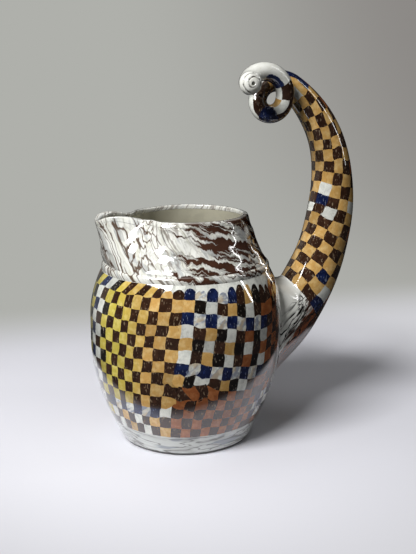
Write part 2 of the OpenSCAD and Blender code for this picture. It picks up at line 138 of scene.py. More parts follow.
def vector(operation, first, second):
    """A vector worked out from a signal and a second vector."""
    return add_node(first.tree, "VectorMath", {0: first, 1: second}, operation=operation)[0]


def scaled(first, factor):
    """A vector or a colour times a number."""
    return add_node(first.tree, "VectorMath", {0: first, 3: factor}, operation="SCALE")[0]


def between(value, low, high):
    """0 where a value is at low, 1 where it is at high, and a smooth step between them."""
    inputs = {"Value": value, "From Min": low, "From Max": high}
    return add_node(value.tree, "MapRange", inputs, interpolation_type="SMOOTHSTEP")[0]


def blend(share, first, second):
    """A colour between two colours."""
    return add_node(share.tree, "Mix", {0: share, 6: first, 7: second}, data_type="RGBA")[2]


def stained(colour, *stains):
    """A colour with stains over it, each given as a mask, its strength and the stain's colour."""
    for mask, strength, stain in stains:
        colour = blend(mask * strength, colour, stain)
    return colour


def noise(place, scale, detail=2.0):
    """Smooth noise about 0.5, with so many lumps to the metre."""
    return add_node(place.tree, "TexNoise", {"Vector": place, "Scale": scale, "Detail": detail})[0]


def stretched(place, stretch):
    """A place with each of its three axes multiplied."""
    return vector("MULTIPLY", place, stretch)


def axis(place, name):
    """One of the three numbers of a place."""
    return add_node(place.tree, "SeparateXYZ", {0: place})[name]


def trait(tree, name):
    """A number that the mesh stores at each of its points."""
    return add_node(tree, "Attribute", {}, attribute_name=name)["Fac"]


def linear(red, green, blue):
    """A colour as a screen shows it, 0 to 255, turned into the linear light that shaders use."""
    shown = np.array([red, green, blue]) / 255
    light = np.where(shown <= 0.04045, shown / 12.92, ((shown + 0.055) / 1.055) ** 2.4)
    return (*light.tolist(), 1.0)


print("white paper as light:", linear(245, 245, 245)[:3])

# %% [markdown]
# ## The studio
#
# One pale sheet makes the whole stage: it lies flat under the jug, bends up behind it and stands as a
# wall. A round patch where the jug stands is white paint that the lamps light, and it takes the jug's
# shadow. Further out the sheet shows the camera a plain pale grey, whatever light falls on it, and the
# grey of the wall fades away from the lamp. A sheet lit all over would be simpler, but the glaze would
# mirror it in every dark check. So reflected and bounced light meets a smaller patch with dark paint
# round it, only the low part of the belly mirrors a pale ground, and the left part of the wall is
# mirrored weakly. A large soft lamp stands at the front left, a narrow one at the right draws the thin
# bright line down the neck and the handle, and a weak one hangs above.

# %% Stage sheet
stage_half, front_edge, bend_from, wall_at, wall_top = 3.5, -3.5, 0.75, 1.75, 3.0

bend = np.linspace(0, np.pi / 2, 17)
bend_r = wall_at - bend_from
stage_y = np.concatenate([[front_edge], bend_from + bend_r * np.sin(bend), [wall_at]])
stage_z = np.concatenate([[0.0], bend_r * (1 - np.cos(bend)), [wall_top]])
edges = [np.stack([np.full_like(stage_y, x), stage_y, stage_z], 1) for x in (-stage_half, stage_half)]
step = np.arange(len(stage_y) - 1)
strips = np.stack([step, step + len(stage_y), step + len(stage_y) + 1, step + 1], 1)
floor_data = bpy.data.meshes.new("floor")
floor_data.from_pydata(np.concatenate(edges), [], strips)
floor_data.shade_smooth()
floor = new_object("floor", floor_data)
print("stage sheet of", len(strips), "strips")

# %% Paint of the stage
# Distances in metres: where the wall's grey starts, the patch for the camera and for other light, and
# across the wall where its grey fades and how far it is mirrored
back_from, back_to = 0.24, 0.46
patch_middle, patch_from, patch_to = (0.04, 0.08, 0.0), 0.19, 0.38
mirror_from, mirror_to = 0.185, 0.215
wall_lit_to, wall_dim_from = 0.2, 1.2
mirrored_to, mirrored_share = 0.45, 0.35
floor_white, floor_dark, floor_pale = linear(229, 229, 236), linear(46, 46, 48), linear(204, 204, 208)
wall_lit, wall_dim = linear(175, 176, 171), linear(140, 137, 134)
no_light = (0, 0, 0, 1)
paint_roughness = 0.9

floor_paint = bpy.data.materials.new("floor_paint")
floor_paint.use_nodes = True
tree = floor_paint.node_tree
place = add_node(tree, "TexCoord", {})["Object"]
ray = add_node(tree, "LightPath", {})
back = between(axis(place, "Y"), back_from, back_to)
sideways = axis(place, "X")
wall_grey = blend(between(sideways, wall_lit_to, wall_dim_from), wall_lit, wall_dim)
distance = add_node(tree, "VectorMath", {0: place, 1: patch_middle}, operation="DISTANCE")["Value"]
far = (1.0 - ray["Is Camera Ray"]) * between(distance, mirror_from, mirror_to)
outside = number("MAXIMUM", far, between(distance, patch_from, patch_to))
mirrored = back * between(sideways, mirrored_to, -mirrored_to) * mirrored_share
seen = number("MAXIMUM", ray["Is Camera Ray"], ray["Is Glossy Ray"] * mirrored)
shader = tree.nodes["Principled BSDF"].inputs
fill(shader["Base Color"], blend(back, blend(outside, floor_white, floor_dark), no_light))
fill(shader["Emission Color"], blend(back, blend(outside, no_light, floor_pale), wall_grey))
fill(shader["Emission Strength"], seen)
fill(shader["Roughness"], paint_roughness)
fill(shader["Specular IOR Level"], 0.0)
floor_data.materials.append(floor_paint)
print("stage paint with", len(tree.nodes), "nodes")

# %% Light of the room
room_light, room_mirrored = 0.12, 0.03
world = bpy.data.worlds.new("studio")
bpy.context.scene.world = world
world.use_nodes = True
ray = add_node(world.node_tree, "LightPath", {})
seen = ray["Is Camera Ray"] * (1 - room_light)
hidden = ray["Is Glossy Ray"] * (room_light - room_mirrored)
background = world.node_tree.nodes["Background"].inputs
fill(background["Color"], wall_lit)
fill(background["Strength"], seen - hidden + room_light)
bpy.context.scene.view_settings.view_transform = "Standard"
print("room light", room_light, "and in reflections", room_mirrored)

# %% Lamps
# Each lamp: its name, place, width, height and power in watts
lamps = [
    ("left_soft_box", (-0.88, -0.62, 1.09), 0.72, 0.24, 26.5),
    ("right_strip", (1.05, -0.36, 0.72), 0.045, 0.9, 1.25),
    ("top_soft_box", (-0.25, 0.15, 1.45), 0.9, 0.9, 2.6),
]
lamp_aim = Vector((0.0, 0.0, 0.13))
for name, spot, width, height, power in lamps:
    lamp_data = bpy.data.lights.new(name, "AREA")
    lamp_data.shape = "RECTANGLE"
    lamp_data.size = width
    lamp_data.size_y = height
    lamp_data.energy = power
    lamp = new_object(name, lamp_data)
    lamp.location = spot
    lamp.rotation_euler = (lamp_aim - Vector(spot)).to_track_quat("-Z", "Y").to_euler()
    print("lamp", name, power, "W")

# %% [markdown]
# ## Glaze
#
# The whole jug wears one clear, glossy glaze. It never lies quite level: it sinks a little over each
# joint and pools in the hollows, so reflections waver. The glaze group gives two things to every
# clay, a roughness that changes slowly and a height for the bump node.

# %% Glaze group
glaze_clouds, glaze_ripples, glaze_dimples = 28.0, 60.0, 330.0
cloud_roughness, dimple_height = 0.14, 0.10


def new_group(name, inputs, outputs):
    """An empty node group with its sockets, given by name and kind. Returns the group, its inputs as
    signals, and the sockets for its results."""
    group = bpy.data.node_groups.new(name, "ShaderNodeTree")
    for way, sockets in (("INPUT", inputs), ("OUTPUT", outputs)):
        for label, kind in sockets.items():
            group.interface.new_socket(name=label, in_out=way, socket_type="NodeSocket" + kind)
    given = {socket.name: Signal(group, socket) for socket in group.nodes.new("NodeGroupInput").outputs}
    return group, given, group.nodes.new("NodeGroupOutput").inputs


glaze, given, result = new_group("glaze", {"Place": "Vector"}, {"Roughness": "Float", "Height": "Float"})
rippled = noise(given["Place"], glaze_ripples, 1.0)
dimpled = noise(given["Place"], glaze_dimples, 1.0)
fill(result["Roughness"], noise(given["Place"], glaze_clouds) * cloud_roughness)
fill(result["Height"], dimpled * dimple_height + rippled)
print("glaze group with", len(glaze.nodes), "nodes")

# %% [markdown]
# ## Clay
#
# No check is one flat colour. Stained clay is mottled where the stain is wedged in unevenly, and a
# wire leaves light specks in the dark clays and dark smears in the light ones as it cuts through the
# block. Each check also fires a little lighter or darker than its neighbours. The clay group puts
# these together from a clay's own colour, the colour of its mottling and the colour of its specks.

# %% Clay group
mottle_scale, mottle_from, mottle_to = 210.0, 0.42, 0.68
speck_scale, speck_from, speck_to, speck_stretch = 760.0, 0.62, 0.71, (1.0, 1.0, 0.35)
grain_scale, grain_depth, grain_floor = 900.0, 0.30, 0.85

clay_group, given, result = new_group(
    "clay",
    {"Place": "Vector", "Clay": "Color", "Mottle": "Color", "Speck": "Color", "Speck Amount": "Float",
     "Tone": "Float"},
    {"Color": "Color"},
)
place = given["Place"]
wedged = between(noise(place, mottle_scale, 3.0), mottle_from, mottle_to)
mottled = blend(wedged, given["Clay"], given["Mottle"])
specked = between(noise(stretched(place, speck_stretch), speck_scale, 1.0), speck_from, speck_to)
dusted = blend(specked * given["Speck Amount"], mottled, given["Speck"])
shade = noise(place, grain_scale) * grain_depth + grain_floor + given["Tone"]
fill(result["Color"], scaled(dusted, shade))
print("clay group with", len(clay_group.nodes), "nodes")

# %% Glazed material
glaze_values = {"IOR": 1.5, "Coat Weight": 1.0, "Coat IOR": 1.75, "Coat Roughness": 0.03}
bump_strength, bump_distance = 0.5, 0.001


def glazed(name, uneven=1.0):
    """A material with the glaze on it, the place on the object as a signal, and the shader's inputs."""
    material = bpy.data.materials.new(name)
    material.use_nodes = True
    tree = material.node_tree
    place = add_node(tree, "TexCoord", {})["Object"]
    coat = add_node(tree, "Group", {"Place": place}, node_tree=glaze)
    bump = {"Strength": bump_strength, "Distance": bump_distance * uneven, "Height": coat["Height"]}
    shader = tree.nodes["Principled BSDF"].inputs
    fill(shader["Roughness"], coat["Roughness"])
    fill(shader["Normal"], add_node(tree, "Bump", bump)["Normal"])
    for label, value in glaze_values.items():
        fill(shader[label], value)
    return material, place, shader


def clay_colour(place, tone, clay, mottle, speck, speck_amount):
    """The clay group's colour in a material."""
    inputs = {"Place": place, "Clay": clay, "Mottle": mottle, "Speck": speck,
              "Speck Amount": speck_amount, "Tone": tone}
    return add_node(place.tree, "Group", inputs, node_tree=clay_group)["Color"]


print("glaze on every shader:", glaze_values)

# %% Clays
# Each clay: its colour, the colour of its mottling, of its specks, and how strong the specks are
clays = {
    "brown": (linear(50, 31, 21), linear(66, 43, 30), linear(190, 170, 140), 0.40),
    "yellow": (linear(203, 185, 80), linear(218, 203, 114), linear(120, 95, 45), 0.25),
    "tan": (linear(200, 157, 90), linear(217, 183, 122), linear(140, 90, 50), 0.25),
    "black": (linear(20, 15, 12), linear(30, 23, 19), linear(180, 172, 155), 0.50),
    "white": (linear(231, 232, 224), linear(207, 209, 202), linear(140, 132, 120), 0.28),
    "blue": (linear(17, 26, 60), linear(30, 43, 86), linear(170, 180, 198), 0.42),
    "terracotta": (linear(150, 86, 46), linear(172, 108, 64), linear(80, 45, 25), 0.25),
}
# The yellow clay was wedged with more and more tan towards the next slab, from one x to another
warm_from, warm_to, warm_share = -0.071, -0.052, 0.75
# Beside blue checks the wire smeared blue and tan over the white ones: lumps to the metre, strength
# and colour of each veil
veils = [(240.0, 0.7, linear(98, 112, 142)), (210.0, 0.6, linear(196, 172, 130))]
veil_turn = {"Rotation": (0.6, 0.6, 0.0), "Scale": (1.0, 1.0, 4.5)}
veil_from, veil_to = 0.46, 0.60

clay_materials = {}
for clay, (colour, mottle, speck, speck_amount) in clays.items():
    material, place, shader = glazed(clay + "_clay")
    tree = material.node_tree
    if clay == "yellow":
        warmed = between(axis(place, "X"), warm_from, warm_to) * warm_share
        colour = blend(warmed, colour, clays["tan"][0])
        mottle = blend(warmed, mottle, clays["tan"][1])
    shown = clay_colour(place, trait(tree, "tone"), colour, mottle, speck, speck_amount)
    if clay == "white":
        slanted = add_node(tree, "Mapping", {"Vector": place, **veil_turn}, vector_type="TEXTURE")[0]
        veiled = trait(tree, "veiled")
        for veil_scale, strength, veil in veils:
            smeared = between(noise(slanted, veil_scale), veil_from, veil_to)
            shown = stained(shown, (smeared * veiled, strength, veil))
    fill(shader["Base Color"], shown)
    clay_materials[clay] = material
print("clays:", ", ".join(clay_materials))

# %% [markdown]
# ## One way to make every piece
#
# Each piece of the jug is a closed block of clay: an outer skin, an inner skin, and strips that join
# their edges. If a function says where a point of the skin lies for a column, a row and a depth, then
# whole grids of columns and rows give all the points at once, and the same function gives the exact
# direction that the skin faces. With those directions set as the mesh's normals, neighbouring checks
# shade as one smooth glazed surface, although each is a mesh of its own.

# %% Blocks of clay
normal_step, least_length = 0.02, 1e-9


def block_quads(rows, columns, wrapped):
    """Corner numbers of a closed block: the outer skin, the inner skin turned over, and the strips
    that join their edges. A wrapped block joins its last column to its first."""
    outer = np.arange(rows * columns).reshape(rows, columns)
    if wrapped:
        outer = np.concatenate([outer, outer[:, :1]], axis=1)
    inner = outer + rows * columns

    def strip(first, second):
        """Corner numbers of the faces between two rows of points."""
        return np.stack([first[:-1], second[:-1], second[1:], first[1:]], -1)

    quads = [
        np.stack([outer[:-1, :-1], outer[:-1, 1:], outer[1:, 1:], outer[1:, :-1]], -1),
        np.stack([inner[:-1, :-1], inner[1:, :-1], inner[1:, 1:], inner[:-1, 1:]], -1),
        strip(outer[0], inner[0]),
        strip(inner[-1], outer[-1]),
    ]
    if not wrapped:
        quads += [strip(inner[:, 0], outer[:, 0]), strip(outer[:, -1], inner[:, -1])]
    return np.concatenate([q.reshape(-1, 4) for q in quads])


def facing(skin, column, row, depth):
    """Direction that a skin faces: across its columns times along its rows."""
    across = skin(column + normal_step, row, depth) - skin(column - normal_step, row, depth)
    along = skin(column, row + normal_step, depth) - skin(column, row - normal_step, depth)
    out = np.cross(across, along)
    return out / np.maximum(np.linalg.norm(out, axis=-1, keepdims=True), least_length)


print("a block of 2 by 2 points has", len(block_quads(2, 2, wrapped=False)), "faces")

# %% Pieces from blocks
MM = 0.001
weld_reach, sharp_from = 1e-6, np.radians(40)


def weld(mesh):
    """Makes points that fall together into one, and keeps the sharp edges sharp."""
    shell = bmesh.new()
    shell.from_mesh(mesh)
    bmesh.ops.remove_doubles(shell, verts=shell.verts, dist=weld_reach)
    shell.to_mesh(mesh)
    shell.free()
    mesh.set_sharp_from_angle(angle=sharp_from)


def add_piece(name, skin, column, row, node_name, slot, material, wrapped=False, welded=False, **traits):
    """A piece of closed blocks. skin(column, row, depth) gives points in millimetres, at depth 0 on
    the outside and at depth 1 on the inside. column and row are stacks of grids, one for each block,
    and traits are numbers for the outside and the inside that the material reads. A welded piece has
    points that fall together, such as the middle of a disc, made into one."""
    count, rows, columns = column.shape
    points = np.stack([skin(column, row, depth) for depth in (0.0, 1.0)], 1).reshape(-1, 3) * MM
    first = np.arange(count) * 2 * rows * columns
    quads = (block_quads(rows, columns, wrapped) + first[:, None, None]).reshape(-1, 4)
    mesh = bpy.data.meshes.new(name)
    mesh.from_pydata(points, [], quads)
    for label, sides in traits.items():
        values = np.stack([np.broadcast_to(side, column.shape) for side in sides], 1)
        mesh.attributes.new(label, "FLOAT", "POINT").data.foreach_set("value", values.ravel())
    mesh.shade_smooth()
    if welded:
        weld(mesh)
    else:
        normals = np.stack([facing(skin, column, row, 0.0), -facing(skin, column, row, 1.0)], 1)
        mesh.normals_split_custom_set_from_vertices(normals.reshape(-1, 3))
    mesh.materials.append(material)
    piece = new_object(name, mesh)
    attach(piece, "root")
    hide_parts(node_name)
    print(name, "has", count, "blocks and", len(quads), "faces")


def grid(columns, rows):
    """One grid of columns and rows, as a stack of one."""
    column, row = np.meshgrid(columns, rows)
    return column[None], row[None]


def turn_round(count):
    """Angles all the way round, evenly, without the last one that falls on the first."""
    return np.linspace(0, 360, count + 1)[:-1]


print("a turn in eight steps:", turn_round(8))

# %% [markdown]
# ## Unevenness of hand work
#
# A hand-built pot is never quite round. A few slow sine waves round it and up it, less than a
# millimetre high, are enough for reflections to bend. Every body piece takes the same waves, so joints
# stay closed. The cut lines between checks wander more quickly: for them a table of random numbers is
# read with smooth steps between its entries.

# %% Waves and wandering lines
# Each wave: its height in mm, how often it goes round the jug, mm up for one radian, and its start
waves = [(0.30, 2, 37, 0.0), (0.24, 3, -27, 1.1), (0.14, 7, 15, 2.0), (0.10, 11, -9, 0.4)]
wander_rows = 64
off_lattice, fine_wander = (0.37, 0.41), 0.35


def smooth(t):
    """Rises smoothly from 0 to 1 as t goes from 0 to 1."""
    t = np.clip(t, 0, 1)
    return t * t * (3 - 2 * t)


def mix(first, second, share):
    """A value between two values."""
    return first + (second - first) * share


def hand_wave(angle, height):
    """How far the wall stands out, in millimetres: four slow sine waves of angle and height."""
    turn = np.radians(angle)
    return sum(size * np.sin(times * turn + height / rise + start) for size, times, rise, start in waves)


def wander(column, row, cells, seed):
    """Random numbers from -1 to 1 on a lattice, with smooth steps between them. The lattice repeats
    after a number of cells in the direction of the columns."""
    table = np.random.default_rng(seed).uniform(-1, 1, (wander_rows, cells))
    left, low = np.floor(column).astype(int), np.floor(row).astype(int)
    across, up = smooth(column - left), smooth(row - low)

    def entry(right, above):
        """The table's number so many cells to the right and above."""
        return table[(low + above) % wander_rows, (left + right) % cells]

    return mix(mix(entry(0, 0), entry(1, 0), across), mix(entry(0, 1), entry(1, 1), across), up)


def ragged(column, row, cells, seed):
    """Wander of a hand-cut line: a broad one and a finer one."""
    broad = wander(column + off_lattice[0], row + off_lattice[1], cells, seed)
    return broad + fine_wander * wander(3 * column, 3 * row, 3 * cells, seed + 1)


def window(angle, opening, open_from, open_to, closed):
    """Rises smoothly from 0 to 1 between the first two angles and falls back between the last two."""
    rise = smooth((angle - opening) / (open_from - opening))
    return rise * smooth((closed - angle) / (closed - open_to))


heights = np.arange(0, 200, 5)
print("widest wave in mm:", np.abs(hand_wave(turn_round(12)[:, None], heights)).max().round(2))

# %% [markdown]
# ## Checks on the belly
#
# The belly's profile is two arcs with a straight part between them. By hand they come out slanted:
# the columns lean, the courses sag towards the right, and the cut lines wander. So the lattice is
# bent first, and then every check is a small block between four lines of the lattice.

# %% The belly's profile
foot_d, base_t, foot_h, foot_top_d = 117, 5, 20, 134
belly_d, belly_z, belly_band, shoulder_z, shoulder_d = 165, 92, 16, 149, 144
check_rows, check_columns = 13, 52
check_t = 1.6


def upright_arc(inset, height):
    """Radius of an arc that starts upright and moves in by an inset over a height."""
    return (inset * inset + height * height) / (2 * inset)


low_rise = belly_z - foot_h
high_z = belly_z + belly_band
high_rise = shoulder_z - high_z
low_r = upright_arc((belly_d - foot_top_d) / 2, low_rise)
high_r = upright_arc((belly_d - shoulder_d) / 2, high_rise)
low_len = low_r * np.arcsin(low_rise / low_r)
profile_len = low_len + belly_band + high_r * np.arcsin(high_rise / high_r)
row_h = profile_len / check_rows


def belly_profile(along, out):
    """Radius and height of the profile, a length up it, moved outwards: an arc to the widest part, a
    straight part and an arc to the shoulder."""
    low = np.maximum(0, low_len - along) / low_r
    high = np.maximum(0, along - low_len - belly_band) / high_r
    straight = np.clip(along - low_len, 0, belly_band)
    radius = belly_d / 2 + out + (low_r + out) * (np.cos(low) - 1) + (high_r + out) * (np.cos(high) - 1)
    height = belly_z + straight - (low_r + out) * np.sin(low) + (high_r + out) * np.sin(high)
    return radius, height


def turned_point(angle, radius, height):
    """A point at an angle about the jug's axis, counted from the handle's side."""
    turn = np.radians(angle)
    return np.stack([radius * np.cos(turn), radius * np.sin(turn), height + 0 * angle], -1)


print("profile", profile_len.round(1), "mm long, courses", row_h.round(2), "mm high")

# %% The bent lattice
column_lean, line_wander, line_seeds = 0.12, 0.13, (3, 7)
sag, sag_rows, sag_window = 12.0, 5, (235, 310, 295, 355)
top_lean, top_window = 8.0, (140, 160, 215, 245)
swirl_angle, swirl_along, swirl_size, swirl_turn = 255.0, 47.0, 9.0, 1.2
smear_column, smear_row, smear_size, smear_reach, smear_seeds = 36.3, 4.4, 2.2, 0.42, (12, 13)
slab_shift, shift_window = 7.0, (80, 170, 250, 330)
left_shift, left_to, left_from = 9.0, 175, 235


def belly_lattice(column, row):
    """Angle and length up the profile of a point of the lattice, after bending it: wandering lines,
    sagging courses on the right, leaning columns, slabs that lie a little further to the right on the
    front, and a swirl where two slabs meet and were smeared."""
    held = smooth(row) * smooth(check_rows - row)
    column = column + line_wander * ragged(column, row, check_columns, line_seeds[0])
    row = row + line_wander * held * ragged(column, row, check_columns, line_seeds[1])
    off_smear = (column - smear_column) ** 2 + (row - smear_row) ** 2
    smear = smear_reach * np.exp(-off_smear / smear_size**2)
    column = column + smear * wander(2 * column, 2 * row, 2 * check_columns, smear_seeds[0])
    row = row + smear * wander(2 * column, 2 * row, 2 * check_columns, smear_seeds[1])
    angle = column * 360 / check_columns
    round_angle = angle % 360
    sagged = np.minimum(row / sag_rows, 1) * smooth(check_rows - row) * window(round_angle, *sag_window)
    along = row * row_h - sag * sagged
    last = np.maximum(0, row - check_rows + 1) * window(angle, *top_window)
    lean = column_lean * (along - profile_len / 2) + top_lean * last
    across = np.radians(angle - swirl_angle) * belly_d / 2
    up = along - swirl_along
    turn = swirl_turn * np.exp(-(across**2 + up**2) / swirl_size**2)
    swirled = np.cos(turn) * across - np.sin(turn) * up
    along = swirl_along + np.sin(turn) * across + np.cos(turn) * up
    shift = slab_shift + left_shift * smooth((left_from - round_angle) / (left_from - left_to))
    shift = shift * window(round_angle, *shift_window)
    return swirl_angle + shift + np.degrees((swirled + lean) / (belly_d / 2)), along


def belly_skin(column, row, depth):
    """A point of the checks' skin: the profile at a place of the bent lattice, with the hand's waves."""
    angle, along = belly_lattice(column, row)
    _, height = belly_profile(along, 0)
    radius, height = belly_profile(along, hand_wave(angle, height) - check_t * depth)
    return turned_point(angle, radius, height)


print("middle of the belly's front:", belly_skin(np.array(36.8), np.array(6.5), 0.0).round(1))

# %% Which clay each check is cut from
blue_pair = ["white", "blue"]


def two_clays(first, second):
    """Courses of a slab of two clays that take turns."""
    return [[first, second], [second, first]]


def mixed_slab(warm):
    """Courses of the mixed slab, with tan or terracotta for its warm clay."""
    four = ["black", "white", "brown", warm]
    turned = ["brown", warm, "black", "white"]
    low = [turned, blue_pair, four, blue_pair, turned, four]
    return low + [blue_pair, turned, four, turned, blue_pair, four, blue_pair]


# Slabs stand side by side round the belly, each from its first angle on, courses from the foot up
slabs = [
    (0, [["white", "brown"], ["brown", "tan"]]),
    (21, two_clays("brown", "tan")),
    (69, mixed_slab("tan")),
    (118, two_clays("brown", "terracotta")),
    (152, [["blue", "white", "black", "yellow"], ["white", "brown", "yellow", "black"]]),
    (187, two_clays("brown", "yellow")),
    (222, two_clays("brown", "tan")),
    (242, mixed_slab("tan")),
    (284, mixed_slab("terracotta")),
    (305, two_clays("brown", "terracotta")),
    (339, [["white", "brown"], ["brown", "tan"]]),
]
# Patches in the courses: first and last angle, first and last course, clays
patches = [
    (187, 242, 2, 2, blue_pair),
    (187, 242, 0, 1, ["white", "brown", "tan", "brown"]),
    (242, 303, 0, 4, ["terracotta", "brown"]),
    (303, 325, 1, 3, blue_pair),
    (277, 305, 12, 12, ["brown", "tan", "black", "brown"]),
]
pad_columns, pad_first_row, pad_rows = 10, 2, 10


def belly_clay(column, row):
    """The clay of one check, by its slab's own repeat, or by the patch that covers it."""
    angle = (column + 0.5) * 360 / check_columns
    for first, last, low, high, repeat in patches:
        if first <= angle < last and low <= row <= high:
            return repeat[(column + row) % len(repeat)]
    courses = [slab for first, slab in slabs if angle >= first][-1]
    course = courses[row % len(courses)]
    return course[column % len(course)]


def on_pad(column, row):
    """Whether the handle's pad takes the place of a check."""
    near = min(column, check_columns - 1 - column) < pad_columns / 2
    return near and pad_first_row <= row < pad_first_row + pad_rows


belly_checks = {clay: [] for clay in clays}
for check_row in range(check_rows):
    for check_column in range(check_columns):
        if not on_pad(check_column, check_row):
            belly_checks[belly_clay(check_column, check_row)].append((check_column, check_row))
print({clay: len(checks) for clay, checks in belly_checks.items()})

# %% [markdown]
# The last course does not end in a straight line. Its checks are rounded off, each at its own height,
# and white clay fills up to the coil above. So the top line of a check depends on the place across it.

# %% Belly checks
check_steps = np.linspace(0, 1, 5)
tone_spread, belly_seed, notch_seed = 0.10, 20, 11
notch_window, notch_low, notch_high, notch_least = (214, 230, 360, 400), 0.15, 0.45, 0.02
corner_drop, corner_round = 0.30, 0.96


def top_notch(column, across):
    """How much lower than the course's upper edge a check of the last course ends, in courses: its own
    share and the drop of an arc towards its corners."""
    angle = (column + 0.5) * 360 / check_columns
    own = np.random.default_rng(notch_seed).uniform(notch_low, notch_high, check_columns)[column]
    rounded = corner_drop * (1 - np.sqrt(1 - corner_round * (2 * across - 1) ** 2))
    return window(angle, *notch_window) * (own + rounded) + notch_least


def check_grids(checks, filler=False):
    """Grids of columns and rows for a list of checks, or for the white clay above the last course."""
    first = np.array(checks)
    across = check_steps[None, None, :]
    up = check_steps[None, :, None]
    column = first[:, 0, None, None] + across + 0 * up
    low = first[:, 1, None, None] + 0.0 * across
    notch = np.array([top_notch(c, check_steps) for c in first[:, 0]])[:, None, :]
    top = np.where(low == check_rows - 1, check_rows - notch, low + 1)
    if filler:
        low, top = top, np.full(top.shape, float(check_rows))
    return column, low + (top - low) * up


def tones(count, seed):
    """How much lighter or darker than its clay each check is."""
    return np.random.default_rng(seed).normal(0, tone_spread, count)[:, None, None]


def beside_blue(checks):
    """1 for each check with a blue one to its right, else 0."""
    right = [belly_clay((column + 1) % check_columns, row) for column, row in checks]
    return np.array([clay == "blue" for clay in right], float)[:, None, None]


fillers = [(check_column, check_rows - 1) for check_column in range(check_columns)]
for number_of_clay, (clay, checks) in enumerate(belly_checks.items()):
    column, row = check_grids(checks)
    veiled = beside_blue(checks)
    if clay == "white":
        fill_column, fill_row = check_grids(fillers, filler=True)
        column, row = np.concatenate([column, fill_column]), np.concatenate([row, fill_row])
        veiled = np.concatenate([veiled, np.zeros((len(fillers), 1, 1))])
    tone = tones(len(column), belly_seed + number_of_clay)
    add_piece(
        "belly_" + clay, belly_skin, column, row, "belly_checks_" + clay, clay + "_clay",
        clay_materials[clay], tone=(tone, tone), veiled=(veiled, veiled),
    )

# %% [markdown]
# ## Marbled clay
#
# The foot, the neck, the handle's root and the tip are white clay wedged together with a little grey,
# brown and blue clay until they run in veins. Noise that is stretched along one direction makes
# streaks, and pushing the place about with a slower noise first makes the streaks bend like folded
# clay. The group returns three masks: thin veins, broad blotches and soft streaks.

# %% Marbling group
fold_scale, vein_scale, blotch_scale, streak_scale = 1.6, 4.2, 3.0, 5.5
blotch_offset, streak_offset = (3.1, 7.7, 1.3), (9.1, 2.2, 5.3)
vein_core, vein_edge = 0.012, 0.05
blotch_from, blotch_to = 0.56, 0.63
streak_from, streak_to = 0.45, 0.75

marbling, given, result = new_group(
    "marbling",
    {"Place": "Vector", "Fold": "Float"},
    {"Thin": "Float", "Broad": "Float", "Soft": "Float"},
)
place = given["Place"]
folding = add_node(marbling, "TexNoise", {"Vector": place, "Scale": fold_scale, "Detail": 3.0})["Color"]
pushed = scaled(vector("SUBTRACT", folding, (0.5, 0.5, 0.5)), given["Fold"])
folded = vector("ADD", place, pushed)
off_middle = number("ABSOLUTE", noise(folded, vein_scale, 1.5) - 0.5)
blotches = noise(vector("ADD", folded, blotch_offset), blotch_scale)
streaks = noise(vector("ADD", folded, streak_offset), streak_scale, 3.0)
fill(result["Thin"], between(off_middle, vein_edge, vein_core))
fill(result["Broad"], between(blotches, blotch_from, blotch_to))
fill(result["Soft"], between(streaks, streak_from, streak_to))
print("marbling group with", len(marbling.nodes), "nodes")


def add_marbling(place, stretch, fold):
    """The marbling group on a place that is stretched first, so that its streaks run one way."""
    inputs = {"Place": stretched(place, stretch), "Fold": fold}
    return add_node(place.tree, "Group", inputs, node_tree=marbling)


marble_white = linear(243, 243, 236)
marble_pale = linear(206, 209, 204)
marble_cream = linear(212, 211, 191)
marble_grey = linear(128, 126, 120)
marble_dark = linear(88, 84, 80)
marble_brown = linear(74, 47, 35)
marble_vein = linear(80, 52, 31)
# Painted shade: the dark of the band where the foot meets the floor
painted_shade_black = linear(28, 23, 20)
marble_blue = linear(92, 104, 122)
marble_rust = linear(136, 76, 46)
plain_cream = linear(194, 190, 170)

# %% [markdown]
# ## Foot
#
# The foot is a marbled ring on a flat slab. Its streaks lie level, because the ring is bent from one
# long strip. The slab's lower edge is rounded, as a wet finger leaves it, and left free of glaze so
# that it does not stick to the kiln shelf. A dark band is painted round the lowest few millimetres,
# which stands for the shade where the foot meets the floor.

# %% Marble of the foot
# Heights in metres of the band at the bottom of the foot that has no glaze and carries painted shade
# where the foot meets the floor, and how dark that shade is painted
shaded_edge_from, shaded_edge_to, edge_shade_strength = 0.0018, 0.0032, 0.95
foot_marble, place, shader = glazed("foot_marble")
lying = add_marbling(place, (8.0, 8.0, 50.0), 0.7)
# Painted shade along the bottom of the foot, where it meets the floor; the same band also takes the
# glaze off
shaded_bare_edge = between(axis(place, "Z"), shaded_edge_to, shaded_edge_from)
colour = stained(
    marble_pale,
    (lying["Soft"], 0.7, marble_grey),
    (lying["Broad"], 0.6, marble_blue),
    (lying["Thin"], 0.75, marble_dark),
    (shaded_bare_edge, edge_shade_strength, painted_shade_black),
)
fill(shader["Base Color"], colour)
fill(shader["Coat Weight"], 1.0 - shaded_bare_edge)
print("foot wiped up to", shaded_edge_to, "m")

# %% Foot
foot_angles = turn_round(120)
belly_t = 6.15
slab_round, seat_lap = 1.6, 0.3
edge_from, edge_to = 0.6, 0.85


def foot_radius(height):
    """Radius of the foot's straight flare at a height."""
    return mix(foot_d, foot_top_d, height / foot_h) / 2


def foot_skin(angle, height, depth):
    """A point of the foot band: the flare with the hand's waves, or the inside of its wall."""
    return turned_point(angle, foot_radius(height) + hand_wave(angle, height) - belly_t * depth, height)


def slab_skin(angle, share, depth):
    """A point of the base slab. Outside: out along the resting face, round its edge and up the flare.
    Inside: out along the upper face."""
    bend = np.clip((share - edge_from) / (edge_to - edge_from), 0, 1) * np.pi / 2
    rise = np.clip((share - edge_to) / (1 - edge_to), 0, 1)
    height = slab_round * (1 - np.cos(bend)) + (base_t - slab_round) * rise
    edge = foot_radius(height) + hand_wave(angle, height) - slab_round * (1 - np.sin(bend))
    outside = turned_point(angle, edge * np.clip(share / edge_from, 0, 1), height)
    top = foot_radius(base_t) + hand_wave(angle, base_t) - seat_lap
    return mix(outside, turned_point(angle, top * share, base_t + 0 * share), depth)


